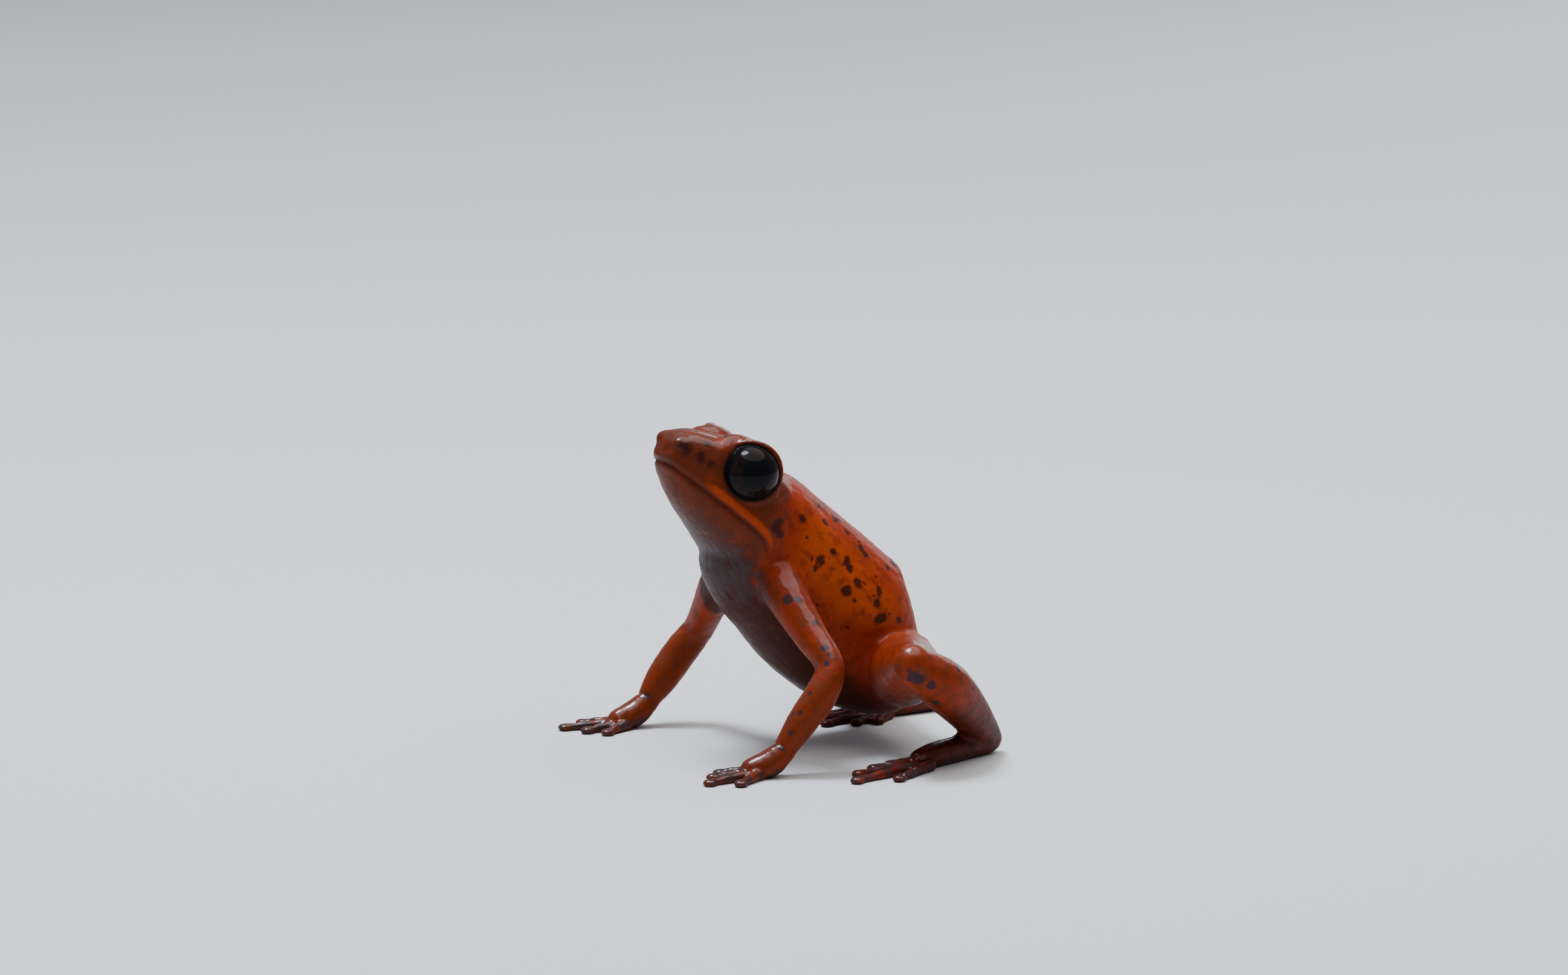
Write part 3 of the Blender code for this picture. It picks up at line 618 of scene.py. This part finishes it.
# Dark patches round the nostril, in front of the eye and over the eardrum, placed on the head
FACE_PATCHES = (
    ((1.23, 0.73, 0.56), 0.3), ((1.1, 0.45, 0.66), 0.22), ((1.7, 1.5, 0.5), 0.3), ((2.0, 2.0, 0.3), 0.24),
    (EARDRUM, 0.34), ((4, 6.8, -1.5), 0.26),
)
dark_places = []
for sign in (1, -1):
    for place, radius in FACE_PATCHES:
        dark_places.append((*on_head(place, sign), radius))
paint("face_spots", nearness(dark_places))
# Painted shade in the crease where the skin meets each eyeball
eye_distance = np.minimum(*(np.linalg.norm(points - np.array(on_head(EYE_CENTRE, sign)), axis=1)
                            for sign in (1, -1)))
paint("eye_crease_shade", 1 - fade(eye_distance, EYE_RADIUS + 0.03, EYE_RADIUS + 0.2))


class Wire:
    """One output in a material's nodes. Sums and products of wires become Math nodes."""

    def __init__(self, tree, output=None):
        self.tree = tree
        self.output = output

    def node(self, kind, settings=None, inputs=None, output=0):
        """Any other node: its settings are made first, then its sockets are filled or linked."""
        made = self.tree.nodes.new("ShaderNode" + kind)
        for key, value in (settings or {}).items():
            setattr(made, key, value)
        for key, value in (inputs or {}).items():
            if isinstance(value, Wire):
                self.tree.links.new(value.output, made.inputs[key])
            else:
                made.inputs[key].default_value = value
        return Wire(self.tree, made.outputs[output])

    def math(self, operation, *others):
        return self.node("Math", {"operation": operation}, dict(enumerate((self, *others))))

    def __add__(self, other):
        return self.math("ADD", other)

    def __mul__(self, other):
        return self.math("MULTIPLY", other)

    def __sub__(self, other):
        return self.math("SUBTRACT", other)

    def __rsub__(self, other):
        return self.node("Math", {"operation": "SUBTRACT"}, {0: other, 1: self})

    __radd__ = __add__
    __rmul__ = __mul__

    def step(self, start, end):
        """0 up to start and 1 from end on, with a soft step between."""
        return self.node("MapRange", {"interpolation_type": "SMOOTHSTEP"},
                         {"Value": self, "From Min": start, "From Max": end})

    def blend(self, start, end):
        """From one colour to another as this value goes from 0 to 1."""
        return self.node("Mix", {"data_type": "RGBA"}, {0: self, 6: start, 7: end}, 2)

    def noise(self, size, detail=3.0, roughness=0.55):
        """Cloudy noise whose clouds are about size metres across, at this place."""
        return self.node("TexNoise", None, {"Vector": self, "Scale": 1 / size, "Detail": detail,
                                            "Roughness": roughness})


# The skin's finish: one moist surface, granular to about a fifth of a millimetre. Its colours are blended
# over one another by the painted values, and cloudy noise makes their edges ragged.
# The lighter orange is painted light, laid over the red-orange of the trunk
SHEEN_ORANGE = (0.40, 0.052, 0.002, 1)
RED_ORANGE = (0.26, 0.021, 0.001, 1)
BRIGHT_LIP = (0.34, 0.037, 0.002, 1)
HEAD_BROWN = (0.095, 0.016, 0.004, 1)
LIMB_BROWN = (0.14, 0.021, 0.003, 1)
# A dark red-brown of painted shade, for the low trunk and the limbs near the floor
SHADE_RED_BROWN = (0.036, 0.005, 0.002, 1)
# Painted shade of the throat and belly
UNDERSIDE_SHADE_BROWN = (0.042, 0.009, 0.003, 1)
# Painted shade with a painted blue-grey sheen, for the chest
SHADED_SHEEN_GREY_VIOLET = (0.05, 0.032, 0.034, 1)
SLATE = (0.015, 0.014, 0.022, 1)
SPOT_BROWN = (0.018, 0.003, 0.002, 1)
MOTTLE_RED = (0.13, 0.012, 0.001, 1)
FLECK_BROWN = (0.065, 0.008, 0.002, 1)
DIGIT_BROWN = (0.05, 0.02, 0.02, 1)
FACE_BROWN = (0.02, 0.004, 0.004, 1)
# Painted shade in the groove of the mouth
GROOVE_SHADE_BROWN = (0.03, 0.004, 0.003, 1)
# Painted shade in the crease round the eyes
CREASE_SHADE_BROWN = (0.012, 0.003, 0.002, 1)
GRANULE_SIZE = 0.00019

moist_skin = bpy.data.materials.new("moist_skin")
moist_skin.use_nodes = True
tree = moist_skin.node_tree
shader = tree.nodes["Principled BSDF"]
wires = Wire(tree)
place = wires.node("TexCoord", None, None, "Object")


def painted(name):
    return wires.node("Attribute", {"attribute_name": name}, None, "Fac")


clouds = place.noise(0.0022, 2)
mottle = place.noise(0.0007, 4)
flecks = place.noise(0.00022, 3)
ragged = place.noise(0.0005, 3)
# Painted light: the upper middle of the trunk is lighter orange
colour = (painted("flank_sheen") * 0.9 + (clouds - 0.5) * 0.9).step(0.0, 1.0).blend(RED_ORANGE, SHEEN_ORANGE)
colour = (mottle.step(0.5, 0.68) * (0.3 + clouds * 0.4)).blend(colour, MOTTLE_RED)
colour = (painted("head") + (mottle - 0.5) * 1.1).step(0.1, 1.15).blend(colour, HEAD_BROWN)
colour = (painted("lip") + (mottle - 0.5) * 1.1).step(0.15, 0.95).blend(colour, BRIGHT_LIP)
# Painted shade: the throat and belly are turned dark brown
colour = (painted("underside_shade") + (mottle - 0.5) * 0.7).step(0.1, 1.0).blend(colour, UNDERSIDE_SHADE_BROWN)
colour = (painted("limb") + (mottle - 0.5) * 1.2).step(0.0, 1.0).blend(colour, LIMB_BROWN)
# Painted shade on the limbs near the floor
colour = (painted("limb_floor_shade") + (mottle - 0.5) * 0.5).step(0.0, 0.9).blend(colour, SHADE_RED_BROWN)
# Painted shade: the low trunk darkens towards the floor
colour = (painted("low_trunk_shade") * 0.8).blend(colour, SHADE_RED_BROWN)
# Painted shade and a painted blue-grey sheen on the chest
colour = ((painted("chest_shade_and_sheen") * 1.4 + (mottle - 0.5) * 2.4).step(0.35, 1.1) * 0.8).blend(colour, SHADED_SHEEN_GREY_VIOLET)
colour = (painted("digits") + (mottle - 0.5) * 1.8).step(0.75, 1.1).blend(colour, DIGIT_BROWN)
colour = (flecks.step(0.57, 0.72) * 0.3).blend(colour, FLECK_BROWN)
spot_mask = 1 - (painted("spots") + (ragged - 0.5) * 2.6).step(0.55, 1.4)
colour = (spot_mask * 0.88).blend(colour, SPOT_BROWN)
face_mask = 1 - (painted("face_spots") + (ragged - 0.5) * 2.4).step(0.5, 1.5)
colour = (face_mask * 0.75).blend(colour, FACE_BROWN)
mark_mask = 1 - (painted("marks") + (ragged - 0.5) * 2.4).step(0.6, 1.25)
colour = (mark_mask * 0.85).blend(colour, SLATE)
# Painted shade along the groove of the mouth
colour = (painted("mouth_groove_shade") * 0.5).blend(colour, GROOVE_SHADE_BROWN)
# Painted shade in the crease round each eye
colour = (painted("eye_crease_shade") * 0.8).blend(colour, CREASE_SHADE_BROWN)
tree.links.new(colour.output, shader.inputs["Base Color"])
gloss = mottle * 0.16 + flecks * 0.2 + 0.3
tree.links.new(gloss.output, shader.inputs["Roughness"])
film = painted("wet") * (0.1 + mottle * 1.6) + 0.03
tree.links.new(film.output, shader.inputs["Coat Weight"])
shader.inputs["Coat Roughness"].default_value = 0.13
cells = place.node("TexVoronoi", {"feature": "SMOOTH_F1"},
                   {"Vector": place, "Scale": 1 / GRANULE_SIZE, "Smoothness": 0.5}, "Distance")
height = cells * -0.8 + flecks * 0.3 + place.noise(0.00009, 2) * 0.3
bump = height.node("Bump", None, {"Height": height, "Strength": 0.6, "Distance": 0.00003}, "Normal")
tree.links.new(bump.output, shader.inputs["Normal"])
shader.inputs["Subsurface Weight"].default_value = 0.05
shader.inputs["Subsurface Radius"].default_value = (1.0, 0.25, 0.1)
shader.inputs["Subsurface Scale"].default_value = 0.0005
shader.inputs["Specular IOR Level"].default_value = 0.1

eye_low, eye_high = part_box("eye_left")
model_shift = (eye_low + eye_high) / 2 - on_head(EYE_CENTRE) * 0.001


def set_in_place(piece):
    """Turn a finished piece from millimetres into metres, over the solids."""
    bpy.ops.object.select_all(action="DESELECT")
    piece.select_set(True)
    bpy.context.view_layer.objects.active = piece
    piece.matrix_world = Matrix.Translation(model_shift) @ Matrix.Scale(0.001, 4) @ piece.matrix_world
    bpy.ops.object.transform_apply(location=True, rotation=True, scale=True)


set_in_place(skin)
skin.data.materials.clear()
skin.data.materials.append(moist_skin)
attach(skin, "root")
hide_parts(*(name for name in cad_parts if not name.startswith("eye")))

# The eyes: jet-black wet balls, 3.1 mm across. Each is one polished ball with a dark brown iris that
# hardly shows round its pupil.
PUPIL_BLACK = (0.004, 0.004, 0.005, 1)
IRIS_BROWN = (0.022, 0.009, 0.005, 1)
black_eye = bpy.data.materials.new("black_eye")
black_eye.use_nodes = True
tree = black_eye.node_tree
shader = tree.nodes["Principled BSDF"]
wires = Wire(tree)
from_pupil = wires.node("Attribute", {"attribute_name": "from_pupil"}, None, "Fac")
threads = wires.node("TexCoord", None, None, "Object").noise(0.00025, 4)
iris = from_pupil.step(0.5, 0.62) * (1 - from_pupil.step(0.9, 1.05)) * threads.step(0.3, 0.8)
tree.links.new(iris.blend(PUPIL_BLACK, IRIS_BROWN).output, shader.inputs["Base Color"])
tree.links.new((threads * 0.06 + 0.04).output, shader.inputs["Roughness"])
shader.inputs["Specular IOR Level"].default_value = 0.08
for side, sign in (("left", 1), ("right", -1)):
    bpy.ops.object.select_all(action="DESELECT")
    bpy.ops.mesh.primitive_uv_sphere_add(segments=64, ring_count=40, radius=EYE_RADIUS)
    eyeball = bpy.context.object
    eyeball.name = "eyeball_" + side
    middle, axis = eye_axes(sign)[:2]
    around = [math.acos(max(-1, min(1, vertex.co.normalized().z))) for vertex in eyeball.data.vertices]
    layer = eyeball.data.attributes.new("from_pupil", "FLOAT", "POINT")
    layer.data.foreach_set("value", around)
    turned = Vector((0, 0, 1)).rotation_difference(axis).to_matrix().to_4x4()
    eyeball.matrix_world = head_place @ Matrix.Translation(middle) @ turned
    bpy.ops.object.shade_smooth()
    set_in_place(eyeball)
    eyeball.data.materials.append(black_eye)
    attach(eyeball, "root")
    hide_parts("eye_" + side)

# The studio: a plain pale floor, a bluish key light high above the snout, a large soft light overhead and
# a weak one behind. The camera looks down 10 degrees at the frog's left side and front.
FLOOR_GREY = (0.72, 0.72, 0.71, 1)
bpy.ops.object.select_all(action="DESELECT")
bpy.ops.mesh.primitive_plane_add(size=6)
floor = bpy.context.object
floor.name = "floor"
pale = bpy.data.materials.new("pale_floor")
pale.use_nodes = True
pale.node_tree.nodes["Principled BSDF"].inputs["Base Color"].default_value = FLOOR_GREY
pale.node_tree.nodes["Principled BSDF"].inputs["Roughness"].default_value = 0.7
floor.data.materials.append(pale)

sky = bpy.data.worlds.new("pale_room")
bpy.context.scene.world = sky
sky.use_nodes = True
sky.node_tree.nodes["Background"].inputs["Color"].default_value = (0.86, 0.9, 1.0, 1)
sky.node_tree.nodes["Background"].inputs["Strength"].default_value = 0.3

azimuth, elevation = math.radians(66), math.radians(10)
rightward = Vector((math.cos(azimuth), math.sin(azimuth), 0))
towards_camera = Vector((math.sin(azimuth) * math.cos(elevation), -math.cos(azimuth) * math.cos(elevation),
                         math.sin(elevation)))
view_up = towards_camera.cross(rightward)
middle = model_shift + Vector((0, 0.009, 0.0085))
# Each light: how far right, up and towards the camera it is, its size, power and colour
LIGHTS = (
    ("key", (-0.075, 0.29, 0.02), 0.1, 1.15, (0.74, 0.83, 1.0)),
    ("overhead", (0.05, 0.36, 0.05), 0.5, 1.4, (1.0, 0.98, 0.96)),
    ("behind", (0.12, 0.16, -0.30), 0.2, 0.15, (0.95, 0.97, 1.0)),
)
for name, (right, high, near), size, power, tint in LIGHTS:
    bpy.ops.object.light_add(type="AREA")
    lamp = bpy.context.object
    lamp.name = name
    lamp.data.shape = "DISK"
    lamp.data.size = size
    lamp.data.energy = power
    lamp.data.color = tint
    lamp.location = middle + rightward * right + view_up * high + towards_camera * near
    lamp.rotation_euler = (lamp.location - middle).to_track_quat("Z", "Y").to_euler()

# The frame is 82.4 mm wide at the frog. The snout is left of its middle and a little above it, by these
# lengths, and the camera is this far away, in metres.
SNOUT_HEIGHT, SNOUT_LEFT, SNOUT_ABOVE, CAMERA_AWAY = 0.0165, 0.00683, 0.00214, 0.453
bpy.ops.object.camera_add()
camera = bpy.context.object
camera.data.lens = 200
camera.data.sensor_width = 36
camera.data.clip_start = 0.01
camera.data.clip_end = 20
snout = model_shift + Vector((0, 0, SNOUT_HEIGHT))
aim = Matrix((rightward, view_up, towards_camera)).transposed().to_4x4()
aim.translation = snout + rightward * SNOUT_LEFT - view_up * SNOUT_ABOVE + towards_camera * CAMERA_AWAY
camera.matrix_world = aim
bpy.context.scene.camera = camera
